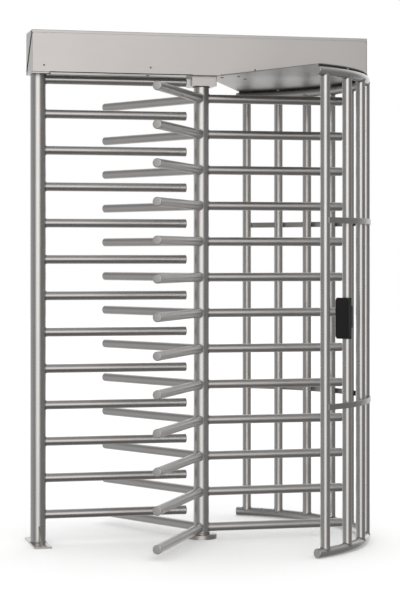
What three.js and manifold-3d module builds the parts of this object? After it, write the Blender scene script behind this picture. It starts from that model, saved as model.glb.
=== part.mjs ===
import * as THREE from "three";
import { mergeVertices } from "three/addons/utils/BufferGeometryUtils.js";
import Module from "manifold-3d";

// Full height turnstile, in millimetres, +Z up, standing on Z = 0.
// The rotor turns about the Z axis. X runs from the left post to the cage, Y from front to rear.

// Driving dimensions of the whole
const cageRadius = 744; // the circle through the cage posts' axes
const postToAxis = 752; // from the left post's axis to the rotor's
const tierPitch = 163;
const tierCount = 13;
const lowestTierHeight = 49;
const topTierBelowHeader = 98;
const rotorInsideCage = 72; // from the cage posts' circle to the arms' tips
const headerHeight = 187;
const headerDepth = 178;
const headerPastPost = 40; // beyond the left post's axis
const headerPastCage = 22; // beyond the cage posts' circle
const clearance = 0.3; // between pieces that touch or pass through each other
const overrun = 5; // by which a cut passes the face that it opens

// Tubes
const armDiameter = 40;
const armWall = 2;
const armCap = 4;
const columnDiameter = 70;
const columnWall = 3;
const cagePostDiameter = 42;
const cagePostWall = 2.5;
const leftPostDiameter = 70;
const leftPostWall = 3;

// Rotor
const armsPerTier = 3;
const tierVentDiameter = 28; // up through the middle of each tier, around the pivot pin
const columnHeadAboveUnderside = 76;

// Barrier
const barrierTipGap = 37; // from the barrier arms' tips to the column
const barrierRootInset = 12; // from the left post's axis to where an arm starts inside it
const topArmBelowHeader = 26;
const leftPostPad = 4;
const leftPostPadMargin = 16;

// Cage
const postAngle = THREE.MathUtils.degToRad(13);
const cagePostCount = 10;
const ringEndLength = 52; // along the arc, from the last post's axis to the ring's end
const ringEndCap = 4;
const drainDiameter = 8;
const studDiameter = 16; // between the top ring and the ceiling plate
const studPostIndexes = [1, 3, 6, 8]; // counted from the rear end of the cage
const bandHeight = 25;
const bandThickness = 5;
const upperBandHeight = 1440;
const lowerBandHeight = 642;

// Ceiling plate
const ceilingThickness = 4;
const ceilingPastCage = 11; // beyond the cage posts' circle
const ceilingSpread = THREE.MathUtils.degToRad(61.8); // from the X axis to each outer corner

// Header sheets
const sheetThickness = 3;
const lipHeight = 18;
const seamGap = 1;

// Bearing housing and top bearing
const housingWidth = 115;
const housingDepth = 120;
const housingHeight = 45;
const topBearingWall = 10;
const topBearingHeight = 30;

// Floor flange, pivot pin and the bush that runs on it
const flangeDiameter = 142;
const flangeThickness = 20;
const collarDiameter = 78;
const collarHeight = 5.7;
const pivotPinDiameter = 24;
const bushHeight = 24;

// Foot plate
const footWidth = 76;
const footLength = 300;
const footThickness = 8;
const footRibHeight = 74;
const footRibThickness = 6;
const footRibEndMargin = 8;
const anchorHoleDiameter = 14;
const anchorInset = 22;

// Lock and damper in the header
const mechanismLength = 360;
const mechanismWidth = 150;
const mechanismThickness = 6;
const camRadius = 70;
const camDiscThickness = 6;
const camLugCount = 12; // four for each wing, so the rotor locks at every twelfth of a turn
const camLugWidth = 12;
const camLugDepth = 14; // along the radius
const camLugHeight = 12; // above the disc
const camLugInset = 2;
const camAboveMechanism = 10;
const pawlPivotX = 82;
const pawlPivotY = 56;
const pawlWidth = 12;
const pawlThickness = 9;
const pawlEyeDiameter = 24;
const pawlPinDiameter = 10;
const pawlTail = 36; // from the tooth's centre line to the tail's end
const pawlToothWidth = 12;
const pawlToothBite = 9;
const pawlSwing = THREE.MathUtils.degToRad(13);
const magnetDiameter = 22;
const magnetLength = 34;
const magnetFaceGap = 1.2;
const magnetFootWidth = 16;
const magnetFootLength = 17;
const damperDiameter = 96;
const damperHeight = 34;
const damperAboveCam = 18;
const damperBridgeThickness = 5;
const damperBridgeWidth = 40;
const damperLegSpread = 324; // between the outer faces of the bridge's legs
const damperTopBore = 30;
const controlBoxLength = 260;
const controlBoxWidth = 120;
const controlBoxHeight = 80;
const controlBoxWall = 3;
const controlBoxInset = 222; // from the header's left end
const cableEntryDiameter = 20;

// Card reader and its clamp
const readerWidth = 71;
const readerHeight = 178;
const readerDepth = 18;
const readerCorner = 10;
const readerMiddleHeight = 1017;
const clampWall = 4.5;
const clampHeight = 94;
const clampMiddleHeight = 1023;
const clampPadWidth = 44;
const clampPadThickness = 5;
const clampSlot = 6;
const readerPostIndex = 8; // counted from the rear end of the cage

// Facets
const armSides = 16;
const boreSides = 8;
const holeSides = 8;
const columnSides = 18;
const cagePostSides = 16;
const ringSides = 14;
const ringSteps = 20;
const bandStepsPerPost = 3;
const roundSides = 24;
const smallSides = 12;
const cornerSteps = 4;

// Places worked out from the sizes above
const armRadius = armDiameter / 2;
const columnRadius = columnDiameter / 2;
const columnBoreRadius = columnRadius - columnWall;
const turningBoreRadius = (columnRadius + clearance) / Math.cos(Math.PI / columnSides);
const bushBottom = lowestTierHeight + armRadius + clearance;
const bushTop = bushBottom + bushHeight;
const topTierHeight = lowestTierHeight + tierPitch * (tierCount - 1);
const headerUnderside = topTierHeight + topTierBelowHeader;
const headerTop = headerUnderside + headerHeight;
const topArmHeight = headerUnderside - topArmBelowHeader;
const cagePostRadius = cagePostDiameter / 2;
const cageSpread = (postAngle * (cagePostCount - 1)) / 2;
const ringSpread = cageSpread + ringEndLength / cageRadius;
const ringLowHeight = cagePostRadius;
const ringHighHeight = topArmHeight;
const headerFront = -headerDepth / 2;
const headerRear = headerDepth / 2;
const panFront = headerFront + sheetThickness + clearance;
const panFloor = headerUnderside + ceilingThickness + clearance;
const mechanismFloor = panFloor + sheetThickness + clearance;
const mechanismTop = mechanismFloor + mechanismThickness;
const camBottom = mechanismTop + camAboveMechanism;
const camDiscTop = camBottom + camDiscThickness;
const camTop = camDiscTop + camLugHeight;
const rotorReach = cageRadius - rotorInsideCage;
const headerLeftReach = postToAxis + headerPastPost;
const headerRightReach = cageRadius + headerPastCage;
const ceilingRadius = cageRadius + ceilingPastCage;
const ceilingCornerX = ceilingRadius * Math.cos(ceilingSpread);
const ceilingCornerY = ceilingRadius * Math.sin(ceilingSpread);
const columnBottom = flangeThickness + collarHeight + clearance;
const columnTop = headerUnderside + columnHeadAboveUnderside;
const damperBottom = camTop + damperAboveCam;

// Materials

function metal(color, roughness) {
  return new THREE.MeshStandardMaterial({ color, roughness, metalness: 1 });
}

function plain(color, roughness) {
  return new THREE.MeshStandardMaterial({ color, roughness, metalness: 0 });
}

const brushedStainless = metal(0xbdb8b3, 0.32);
const satinStainless = metal(0xa3a29f, 0.45);
const satinSheet = metal(0xc6c2bd, 0.5);
const machinedSteel = metal(0x9a9a98, 0.38);
const zincSteel = metal(0xb9bcc0, 0.42);
const bronze = metal(0xa98248, 0.4);
const blackPlastic = plain(0x1f1f20, 0.5);
const darkPlastic = plain(0x3c3d3f, 0.55);
const greyPaint = plain(0x8b8f93, 0.5);

// Solids

const wasm = await Module();
wasm.setup();

function solidOf(geometry) {
  const bare = geometry.clone();
  bare.deleteAttribute("normal");
  bare.deleteAttribute("uv");
  const welded = mergeVertices(bare);
  const corners = welded.index.array;
  const triangles = [];
  for (let i = 0; i < corners.length; i += 3) {
    const [a, b, c] = [corners[i], corners[i + 1], corners[i + 2]];
    if (a !== b && b !== c && c !== a) {
      triangles.push(a, b, c);
    }
  }
  return new wasm.Manifold(
    new wasm.Mesh({
      numProp: 3,
      vertProperties: new Float32Array(welded.attributes.position.array),
      triVerts: new Uint32Array(triangles),
    }),
  );
}

function geometryOf(solid) {
  const result = solid.getMesh();
  const geometry = new THREE.BufferGeometry();
  geometry.setAttribute("position", new THREE.BufferAttribute(new Float32Array(result.vertProperties), 3));
  geometry.setIndex(new THREE.BufferAttribute(new Uint32Array(result.triVerts), 1));
  geometry.computeVertexNormals();
  return geometry;
}

function joined(geometries) {
  return geometries.map(solidOf).reduce((sum, next) => sum.add(next));
}

function cut(geometries, tools) {
  return geometryOf(tools.map(solidOf).reduce((rest, tool) => rest.subtract(tool), joined(geometries)));
}

// Geometry helpers

function block(left, right, front, rear, bottom, top) {
  const geometry = new THREE.BoxGeometry(right - left, rear - front, top - bottom);
  return geometry.translate((left + right) / 2, (front + rear) / 2, (bottom + top) / 2);
}

// A round solid about Z from a profile of [radius, height] pairs
function turned(profile, sides) {
  const points = profile.map(([radius, height]) => new THREE.Vector2(radius, height));
  return new THREE.LatheGeometry(points, sides).rotateX(Math.PI / 2);
}

function rod(radius, bottom, top, sides) {
  const profile = [
    [0, bottom],
    [radius, bottom],
    [radius, top],
    [0, top],
  ];
  return turned(profile, sides);
}

function pipe(outerRadius, innerRadius, bottom, top, sides) {
  const profile = [
    [innerRadius, bottom],
    [outerRadius, bottom],
    [outerRadius, top],
    [innerRadius, top],
    [innerRadius, bottom],
  ];
  return turned(profile, sides);
}

// From the Z axis to the X axis: up becomes right
function alongX(geometry) {
  return geometry.rotateY(Math.PI / 2);
}

function outline(points) {
  return new THREE.Shape(points.map(([x, y]) => new THREE.Vector2(x, y)));
}

// Each arc of the outline is drawn with arcSteps straight steps
function slab(shape, bottom, top, arcSteps) {
  const settings = { depth: top - bottom, bevelEnabled: false, curveSegments: arcSteps / 2 };
  return new THREE.ExtrudeGeometry(shape, settings).translate(0, 0, bottom);
}

// An outline of [y, z] points, extruded along X
function profileAlongX(points, left, right) {
  const turn = new THREE.Matrix4().makeBasis(
    new THREE.Vector3(0, 1, 0),
    new THREE.Vector3(0, 0, 1),
    new THREE.Vector3(1, 0, 0),
  );
  return slab(outline(points), left, right, 2).applyMatrix4(turn);
}

function arcBand(outerRadius, innerRadius, spread, bottom, top, steps) {
  const shape = new THREE.Shape();
  shape.absarc(0, 0, outerRadius, -spread, spread, false);
  shape.absarc(0, 0, innerRadius, spread, -spread, true);
  return slab(shape, bottom, top, steps);
}

class LevelArc extends THREE.Curve {
  constructor(radius, spread, height) {
    super();
    this.radius = radius;
    this.spread = spread;
    this.height = height;
  }

  getPoint(share) {
    const angle = THREE.MathUtils.lerp(-this.spread, this.spread, share);
    return new THREE.Vector3(Math.cos(angle) * this.radius, Math.sin(angle) * this.radius, this.height);
  }
}

function bentBar(radius, spread, height, sides) {
  const section = [];
  for (let i = 0; i < sides; i += 1) {
    const angle = (2 * Math.PI * i) / sides;
    section.push([Math.cos(angle) * radius, Math.sin(angle) * radius]);
  }
  const path = new LevelArc(cageRadius, spread, height);
  const settings = { steps: ringSteps, extrudePath: path, bevelEnabled: false };
  return new THREE.ExtrudeGeometry(outline(section), settings);
}

// A straight cut along X that an arm passes with clearance, with flats above and below it
function armHole(length) {
  const half = Math.PI / holeSides;
  const radius = (armRadius + clearance) / Math.cos(half);
  return alongX(rod(radius, 0, length, holeSides).rotateZ(half));
}

// Left post and barrier

function makeLeftPost() {
  const radius = leftPostDiameter / 2;
  const padTop = headerUnderside - clearance;
  const padBottom = padTop - leftPostPad;
  const padHalf = radius + leftPostPadMargin;
  const pad = block(postToAxis - headerLeftReach, padHalf, -padHalf, padHalf, padBottom, padTop);
  const tube = pipe(radius, radius - leftPostWall, footThickness + clearance, padBottom, columnSides);
  const holes = barrierHeights().map((height) => armHole(radius + overrun).translate(0, 0, height));
  return cut([tube, pad], holes).translate(-postToAxis, 0, 0);
}

function makeFootPlate() {
  const halfWidth = footWidth / 2;
  const halfLength = footLength / 2;
  const ribRoot = leftPostDiameter / 2 + clearance;
  const ribTip = halfLength - footRibEndMargin;
  const ribTop = footThickness + footRibHeight;
  const sunk = footThickness / 2;
  const plate = block(-halfWidth, halfWidth, -halfLength, halfLength, 0, footThickness);
  const rib = [
    [ribRoot, sunk],
    [ribTip, sunk],
    [ribTip, footThickness],
    [ribRoot, ribTop],
  ];
  const rearRib = profileAlongX(rib, -footRibThickness / 2, footRibThickness / 2);
  const frontRib = rearRib.clone().rotateZ(Math.PI);
  const holes = [];
  for (const x of [-1, 1]) {
    for (const y of [-1, 1]) {
      const hole = rod(anchorHoleDiameter / 2, -overrun, footThickness + overrun, smallSides);
      holes.push(hole.translate(x * (halfWidth - anchorInset), y * (halfLength - anchorInset), 0));
    }
  }
  return cut([plate, rearRib, frontRib], holes).translate(-postToAxis, 0, 0);
}

function barrierHeights() {
  const heights = [];
  for (let i = 0; i < tierCount - 1; i += 1) {
    heights.push(lowestTierHeight + tierPitch * (i + 1 / 2));
  }
  heights.push(topArmHeight);
  return heights;
}

// A capped tube whose bore is open at its root, inside the left post
function makeBarrierArm() {
  const root = -postToAxis + barrierRootInset;
  const tip = -columnRadius - barrierTipGap;
  const bar = rod(armRadius, root, tip, armSides);
  const bore = rod(armRadius - armWall, root - overrun, tip - armCap, boreSides);
  return cut([alongX(bar)], [alongX(bore)]);
}

// Rotor

function tierHeight(index) {
  return lowestTierHeight + tierPitch * index;
}

function aroundTier(geometry) {
  const copies = [];
  for (let i = 0; i < armsPerTier; i += 1) {
    copies.push(geometry.clone().rotateZ((2 * Math.PI * i) / armsPerTier));
  }
  return copies;
}

function makeColumn() {
  const tube = pipe(columnRadius, columnBoreRadius, columnBottom, columnTop, columnSides);
  const hole = armHole(columnRadius + overrun);
  const holes = [];
  for (let i = 0; i < tierCount; i += 1) {
    for (const copy of aroundTier(hole)) {
      holes.push(copy.translate(0, 0, tierHeight(i)));
    }
  }
  return cut([tube], holes);
}

// Three capped tubes that meet on the column's axis; the vent keeps their bores open to the air
function makeRotorTier() {
  const arm = alongX(rod(armRadius, 0, rotorReach, armSides));
  const bore = alongX(rod(armRadius - armWall, 0, rotorReach - armCap, boreSides));
  const vent = rod(tierVentDiameter / 2, -armDiameter, armDiameter, boreSides);
  return cut(aroundTier(arm), [vent, ...aroundTier(bore)]);
}

function makeFloorFlange() {
  const profile = [
    [0, 0],
    [flangeDiameter / 2, 0],
    [flangeDiameter / 2, flangeThickness],
    [collarDiameter / 2, flangeThickness],
    [collarDiameter / 2, flangeThickness + collarHeight],
    [pivotPinDiameter / 2, flangeThickness + collarHeight],
    [pivotPinDiameter / 2, bushTop],
    [0, bushTop],
  ];
  return turned(profile, roundSides);
}

// Sits in the column's bore on the lowest tier and runs on the pivot pin
function makeFloorBush() {
  const inner = pivotPinDiameter / 2 + clearance;
  return pipe(columnBoreRadius - clearance, inner, bushBottom, bushTop, columnSides);
}

function makeBearingHousing() {
  const top = headerUnderside + ceilingThickness;
  const bottom = headerUnderside - housingHeight;
  const body = block(-housingWidth / 2, housingWidth / 2, -housingDepth / 2, housingDepth / 2, bottom, top);
  const seat = turningBoreRadius + topBearingWall + clearance;
  const seatBottom = top - topBearingHeight - clearance;
  const cuts = [
    rod(turningBoreRadius, bottom - overrun, top + overrun, columnSides),
    rod(seat, seatBottom, top + overrun, columnSides),
  ];
  return cut([body], cuts);
}

function makeTopBearing() {
  const outer = turningBoreRadius + topBearingWall;
  const top = headerUnderside + ceilingThickness;
  return pipe(outer, turningBoreRadius, top - topBearingHeight, top, columnSides);
}

// Cage

function cagePostAngle(index) {
  return cageSpread - postAngle * index;
}

function makeCagePost(index) {
  const inner = cagePostRadius - cagePostWall;
  const tube = pipe(cagePostRadius, inner, ringLowHeight, ringHighHeight, cagePostSides);
  onPost(tube, index);
  const saddle = cagePostRadius + clearance;
  const copes = [
    bentBar(saddle, ringSpread, ringLowHeight, ringSides),
    bentBar(saddle, ringSpread, ringHighHeight, ringSides),
  ];
  return cut([tube], copes);
}

function onPost(geometry, index) {
  return geometry.translate(cageRadius, 0, 0).rotateZ(cagePostAngle(index));
}

function makeTopRing() {
  const top = headerUnderside - clearance;
  const studs = studPostIndexes.map((index) => {
    return onPost(rod(studDiameter / 2, ringHighHeight, top, smallSides), index);
  });
  return geometryOf(joined([makeCageRing(ringHighHeight), ...studs]));
}

// The drain keeps the inside of the closed tube open to the air
function makeCageRing(height) {
  const outer = bentBar(cagePostRadius, ringSpread, height, ringSides);
  const inner = cagePostRadius - cagePostWall;
  const bore = bentBar(inner, ringSpread - ringEndCap / cageRadius, height, boreSides);
  const drain = rod(drainDiameter / 2, 0, cagePostRadius + overrun, boreSides);
  return cut([outer], [bore, alongX(drain).rotateZ(Math.PI).translate(cageRadius, 0, height)]);
}

function makeCageBand(height) {
  const inner = cageRadius + cagePostRadius + clearance;
  const steps = bandStepsPerPost * (cagePostCount - 1);
  const bottom = height - bandHeight / 2;
  return arcBand(inner + bandThickness, inner, cageSpread, bottom, bottom + bandHeight, steps);
}

function ceilingOutline(margin) {
  const inner = housingWidth / 2 + clearance - margin;
  const slope = (ceilingCornerX - inner) / (ceilingCornerY - housingDepth / 2);
  const innerHalf = housingDepth / 2 + margin;
  const cornerX = ceilingCornerX - margin;
  const cornerY = innerHalf + (cornerX - inner) / slope;
  const arcAngle = Math.atan2(cornerY, cornerX);
  const shape = new THREE.Shape();
  shape.moveTo(inner, -innerHalf);
  shape.absarc(0, 0, ceilingRadius + margin, -arcAngle, arcAngle, false);
  shape.lineTo(inner, innerHalf);
  shape.closePath();
  return shape;
}

function makeCeilingPlate() {
  const top = headerUnderside + ceilingThickness;
  return slab(ceilingOutline(0), headerUnderside, top, ringSteps);
}

// Header

// What the ceiling plate passes through
function ceilingNotch() {
  const top = headerUnderside + ceilingThickness + clearance;
  return slab(ceilingOutline(clearance), headerUnderside - overrun, top, ringSteps);
}

// The upper triangle of an end, which belongs to the lid
function lidEnd(left, right) {
  const triangle = [
    [headerRear, headerUnderside + seamGap],
    [headerRear, headerTop],
    [panFront + seamGap, headerTop],
  ];
  return profileAlongX(triangle, left, right);
}

function makeHeaderPan() {
  const left = -headerLeftReach;
  const right = headerRightReach;
  const frontInside = panFront + sheetThickness;
  const rearInside = headerRear - sheetThickness - clearance;
  const top = headerTop - sheetThickness - clearance;
  const front = block(left, right, panFront, frontInside, headerUnderside, top);
  const floor = block(left, right, panFront, rearInside, panFloor, panFloor + sheetThickness);
  const leftEnd = block(left, left + sheetThickness, panFront, rearInside, headerUnderside, top);
  const rightEnd = block(right - sheetThickness, right, panFront, rearInside, headerUnderside, top);
  const leftSeam = lidEnd(left - overrun, left + sheetThickness + clearance);
  const rightSeam = lidEnd(right - sheetThickness - clearance, right + overrun);
  const seams = [leftSeam, rightSeam].map((seam) => seam.translate(0, 0, -seamGap));
  return cut([front, floor, leftEnd, rightEnd], [mechanismHole(), ceilingNotch(), ...seams]);
}

function makeHeaderLid() {
  const left = -headerLeftReach;
  const right = headerRightReach;
  const topInside = headerTop - sheetThickness;
  const rearInside = headerRear - sheetThickness;
  const top = block(left, right, headerFront, headerRear, topInside, headerTop);
  const rear = block(left, right, rearInside, headerRear, headerUnderside, headerTop);
  const lip = block(left, right, headerFront, headerFront + sheetThickness, headerTop - lipHeight, headerTop);
  const ends = [lidEnd(left, left + sheetThickness), lidEnd(right - sheetThickness, right)];
  return cut([top, rear, lip, ...ends], [ceilingNotch()]);
}

// Lock and damper

// The column's way through the pan and the mechanism plate
function mechanismHole() {
  const radius = turningBoreRadius + topBearingWall / 2;
  return rod(radius, panFloor - overrun, mechanismTop + overrun, columnSides);
}

function makeMechanismPlate() {
  const halfLength = mechanismLength / 2;
  const halfWidth = mechanismWidth / 2;
  const plate = block(-halfLength, halfLength, -halfWidth, halfWidth, mechanismFloor, mechanismTop);
  const root = mechanismTop - mechanismThickness / 2;
  const pin = rod(pawlPinDiameter / 2, root, camTop, smallSides);
  const seat = rod(pawlEyeDiameter / 2, root, pawlBottom() - clearance, smallSides);
  const posts = [];
  for (const geometry of [pin, seat]) {
    geometry.translate(pawlPivotX, pawlPivotY, 0);
    posts.push(geometry, geometry.clone().rotateZ(Math.PI));
  }
  return cut([plate, ...posts], [mechanismHole()]);
}

// A disc with upright lugs; at rest each pawl's tooth faces the space between two of them
function makeIndexCam() {
  const disc = rod(camRadius, camBottom, camDiscTop, roundSides);
  const outer = camRadius - camLugInset;
  const half = camLugWidth / 2;
  const root = camBottom + camDiscThickness / 2;
  const lug = block(outer - camLugDepth, outer, -half, half, root, camTop);
  const lugs = [];
  for (let i = 0; i < camLugCount; i += 1) {
    lugs.push(lug.clone().rotateZ((2 * Math.PI * (i + 1 / 2)) / camLugCount));
  }
  const bore = rod(columnRadius + clearance, camBottom - overrun, camTop, columnSides);
  return cut([disc, ...lugs], [bore]);
}

function pawlBottom() {
  return camDiscTop + (camLugHeight - pawlThickness) / 2;
}

// A lever that hangs forward of its pin, with a tooth that points at the column.
// It is drawn between two lugs and then swung out to its rest.
function makePawl() {
  const bottom = pawlBottom();
  const top = bottom + pawlThickness;
  const inner = pawlPivotX - pawlWidth / 2;
  const outer = pawlPivotX + pawlWidth / 2;
  const half = pawlToothWidth / 2;
  const lever = block(inner, outer, -pawlTail, pawlPivotY, bottom, top);
  const tooth = block(camRadius - pawlToothBite, outer, -half, half, bottom, top);
  const eye = rod(pawlEyeDiameter / 2, bottom, top, smallSides).translate(pawlPivotX, pawlPivotY, 0);
  const hole = rod(pawlPinDiameter / 2 + clearance, bottom - overrun, top + overrun, smallSides);
  hole.translate(pawlPivotX, pawlPivotY, 0);
  const pawl = cut([lever, tooth, eye], [hole]);
  return pawl.translate(-pawlPivotX, -pawlPivotY, 0).rotateZ(pawlSwing).translate(pawlPivotX, pawlPivotY, 0);
}

// Stands square to the swung pawl's tail
function makeMagnet() {
  const middle = pawlBottom() + pawlThickness / 2;
  const face = pawlWidth / 2 + magnetFaceGap;
  const radius = magnetDiameter / 2;
  const coil = alongX(rod(radius, face, face + magnetLength, smallSides)).translate(0, 0, middle);
  const halfWidth = magnetFootWidth / 2;
  const footFrom = face + (magnetLength - magnetFootLength) / 2;
  const footTo = footFrom + magnetFootLength;
  const foot = block(footFrom, footTo, -halfWidth, halfWidth, mechanismTop + clearance, middle);
  const reach = pawlPivotY + pawlTail - radius;
  const magnet = geometryOf(joined([coil, foot]));
  return magnet.translate(0, -reach, 0).rotateZ(pawlSwing).translate(pawlPivotX, pawlPivotY, 0);
}

function makeRotaryDamper() {
  const top = damperBottom + damperHeight;
  const halfSpan = damperLegSpread / 2;
  const halfWidth = damperBridgeWidth / 2;
  const deckTop = damperBottom + damperBridgeThickness;
  const legFoot = mechanismTop + clearance;
  const can = rod(damperDiameter / 2, damperBottom, top, roundSides);
  const deck = block(-halfSpan, halfSpan, -halfWidth, halfWidth, damperBottom, deckTop);
  const legInside = halfSpan - damperBridgeThickness;
  const rightLeg = block(legInside, halfSpan, -halfWidth, halfWidth, legFoot, deckTop);
  const leftLeg = rightLeg.clone().rotateZ(Math.PI);
  const socket = rod(turningBoreRadius, damperBottom - overrun, columnTop + clearance, columnSides);
  const vent = rod(damperTopBore / 2, damperBottom, top + overrun, smallSides);
  return cut([can, deck, leftLeg, rightLeg], [socket, vent]);
}

function makeControlBox() {
  const bottom = mechanismFloor;
  const top = bottom + controlBoxHeight;
  const halfLength = controlBoxLength / 2;
  const halfWidth = controlBoxWidth / 2;
  const wall = controlBoxWall;
  const shell = block(-halfLength, halfLength, -halfWidth, halfWidth, bottom, top);
  const roomX = halfLength - wall;
  const roomY = halfWidth - wall;
  const room = block(-roomX, roomX, -roomY, roomY, bottom + wall, top - wall);
  const entry = alongX(rod(cableEntryDiameter / 2, roomX - overrun, halfLength + overrun, smallSides));
  entry.translate(0, 0, bottom + controlBoxHeight / 2);
  const middle = -headerLeftReach + controlBoxInset + halfLength;
  return cut([shell], [room, entry]).translate(middle, 0, 0);
}

// Card reader: drawn about its post's axis with its face forward, then turned with the post

function onReaderPost(geometry) {
  return onPost(geometry, readerPostIndex);
}

function makeReaderClamp() {
  const bottom = clampMiddleHeight - clampHeight / 2;
  const top = clampMiddleHeight + clampHeight / 2;
  const inner = cagePostRadius + clearance;
  const outer = inner + clampWall;
  const collar = rod(outer, bottom, top, roundSides);
  const pad = block(-clampPadWidth / 2, clampPadWidth / 2, -outer, -outer + clampPadThickness, bottom, top);
  const bore = rod(inner, bottom - overrun, top + overrun, cagePostSides);
  const slot = block(-clampSlot / 2, clampSlot / 2, 0, outer + overrun, bottom - overrun, top + overrun);
  return onReaderPost(cut([collar, pad], [bore, slot]));
}

function makeReader() {
  const halfWidth = readerWidth / 2;
  const halfHeight = readerHeight / 2;
  const x = halfWidth - readerCorner;
  const z = halfHeight - readerCorner;
  const face = new THREE.Shape();
  face.absarc(x, z, readerCorner, 0, Math.PI / 2, false);
  face.absarc(-x, z, readerCorner, Math.PI / 2, Math.PI, false);
  face.absarc(-x, -z, readerCorner, Math.PI, (3 * Math.PI) / 2, false);
  face.absarc(x, -z, readerCorner, (3 * Math.PI) / 2, 2 * Math.PI, false);
  face.closePath();
  const back = -(cagePostRadius + clearance + clampWall + clearance);
  const body = slab(face, 0, readerDepth, cornerSteps).rotateX(Math.PI / 2);
  return onReaderPost(body.translate(0, back, readerMiddleHeight));
}

// Assembly

const turnstile = new THREE.Group();

function place(name, geometry, material, height = 0) {
  const mesh = new THREE.Mesh(geometry, material);
  mesh.name = name;
  mesh.position.z = height;
  turnstile.add(mesh);
}

function numbered(name, index) {
  return `${name}_${String(index + 1).padStart(2, "0")}`;
}

place("left_post", makeLeftPost(), brushedStainless);
place("left_foot_plate", makeFootPlate(), satinStainless);

const barrierArm = makeBarrierArm();
barrierHeights().forEach((height, index) => {
  place(numbered("barrier_arm", index), barrierArm, brushedStainless, height);
});

for (let i = 0; i < cagePostCount; i += 1) {
  place(numbered("cage_post", i), makeCagePost(i), brushedStainless);
}
place("cage_ring_bottom", makeCageRing(ringLowHeight), brushedStainless);
place("cage_ring_top", makeTopRing(), brushedStainless);
place("cage_band_upper", makeCageBand(upperBandHeight), satinStainless);
place("cage_band_lower", makeCageBand(lowerBandHeight), satinStainless);
place("ceiling_plate", makeCeilingPlate(), satinSheet);

place("header_pan", makeHeaderPan(), satinSheet);
place("header_lid", makeHeaderLid(), satinSheet);
place("bearing_housing", makeBearingHousing(), satinSheet);
place("top_bearing", makeTopBearing(), machinedSteel);
place("floor_flange", makeFloorFlange(), satinStainless);
place("floor_bush", makeFloorBush(), bronze);

place("rotor_column", makeColumn(), brushedStainless);
const rotorTier = makeRotorTier();
for (let i = 0; i < tierCount; i += 1) {
  place(numbered("rotor_arms", i), rotorTier, satinStainless, tierHeight(i));
}

place("mechanism_plate", makeMechanismPlate(), zincSteel);
place("index_cam", makeIndexCam(), machinedSteel);
const pawl = makePawl();
place("exit_pawl", pawl, machinedSteel);
place("entry_pawl", pawl.clone().rotateZ(Math.PI), machinedSteel);
const magnet = makeMagnet();
place("exit_magnet", magnet, darkPlastic);
place("entry_magnet", magnet.clone().rotateZ(Math.PI), darkPlastic);
place("rotary_damper", makeRotaryDamper(), greyPaint);
place("control_box", makeControlBox(), greyPaint);

place("reader_clamp", makeReaderClamp(), darkPlastic);
place("reader_housing", makeReader(), blackPlastic);

export default turnstile;
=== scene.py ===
import math

import bmesh
import bpy
from mathutils import Matrix, Vector
from mathutils.geometry import tessellate_polygon


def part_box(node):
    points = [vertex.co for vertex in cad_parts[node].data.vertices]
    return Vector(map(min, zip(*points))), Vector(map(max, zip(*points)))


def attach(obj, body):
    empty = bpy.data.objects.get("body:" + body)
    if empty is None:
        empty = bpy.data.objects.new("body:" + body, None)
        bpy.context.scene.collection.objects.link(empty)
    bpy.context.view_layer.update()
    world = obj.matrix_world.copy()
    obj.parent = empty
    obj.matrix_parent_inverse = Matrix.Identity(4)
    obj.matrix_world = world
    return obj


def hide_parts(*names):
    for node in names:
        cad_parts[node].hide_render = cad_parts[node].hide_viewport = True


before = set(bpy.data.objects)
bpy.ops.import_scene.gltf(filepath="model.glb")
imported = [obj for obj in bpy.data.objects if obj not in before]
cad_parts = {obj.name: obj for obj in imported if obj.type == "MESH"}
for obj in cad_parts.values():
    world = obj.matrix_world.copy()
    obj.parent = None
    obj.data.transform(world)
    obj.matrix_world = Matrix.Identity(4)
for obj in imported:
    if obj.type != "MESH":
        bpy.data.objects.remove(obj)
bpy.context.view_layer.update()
print("frame loaded:", len(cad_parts), "nodes")

mm = 0.001  # meshes are drawn in millimetres and scaled once, when a piece is made


def boxOf(node):
    low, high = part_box(node)
    return low / mm, high / mm


def middleOf(node):
    low, high = boxOf(node)
    return (low + high) / 2


def numbered(name, index):
    return f"{name}_{index + 1:02d}"


def moved(x=0, y=0, z=0):
    return Matrix.Translation((x, y, z))


def turned(angle, axis="Z"):
    return Matrix.Rotation(math.radians(angle), 4, axis)


def addObject(name, data):
    thing = bpy.data.objects.new(name, data)
    bpy.context.collection.objects.link(thing)
    return thing


# Camera, at the photograph's viewing angle

view = {
    "place": (-1.972, -7.990, 1.286),  # metres; the header is about eight metres away
    "turn": 12.87,  # degrees from +Y towards +X
    "lens": 108.1,
    "shiftAcross": 0.05,
    "shiftUp": -0.0731,
}


def makeCamera():
    lens = bpy.data.cameras.new("photoCamera")
    lens.lens = view["lens"]
    lens.shift_x = view["shiftAcross"]
    lens.shift_y = view["shiftUp"]
    camera = addObject("photoCamera", lens)
    camera.location = view["place"]
    camera.rotation_euler = (math.radians(90), 0, -math.radians(view["turn"]))
    bpy.context.scene.camera = camera


# Materials

noise = {"grainDetail": 3, "grainRoughness": 0.6, "patchDetail": 2, "lowest": 0.3, "highest": 0.7}


def toLinear(hexColour):
    levels = [int(hexColour[i:i + 2], 16) / 255 for i in (1, 3, 5)]
    return (*[v / 12.92 if v <= 0.04045 else ((v + 0.055) / 1.055) ** 2.4 for v in levels], 1)


def emptyTree(owner):
    owner.use_nodes = True
    owner.node_tree.nodes.clear()
    return owner.node_tree


def addNode(tree, kind, settings, links=None):
    # A colour mix takes its colours at inputs 6 and 7 and gives one at output 2
    node = tree.nodes.new(kind)
    for name, value in settings.items():
        if isinstance(name, int) or name in node.inputs:
            node.inputs[name].default_value = value
        else:
            setattr(node, name, value)
    for name, socket in (links or {}).items():
        tree.links.new(socket, node.inputs[name])
    return node


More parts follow.
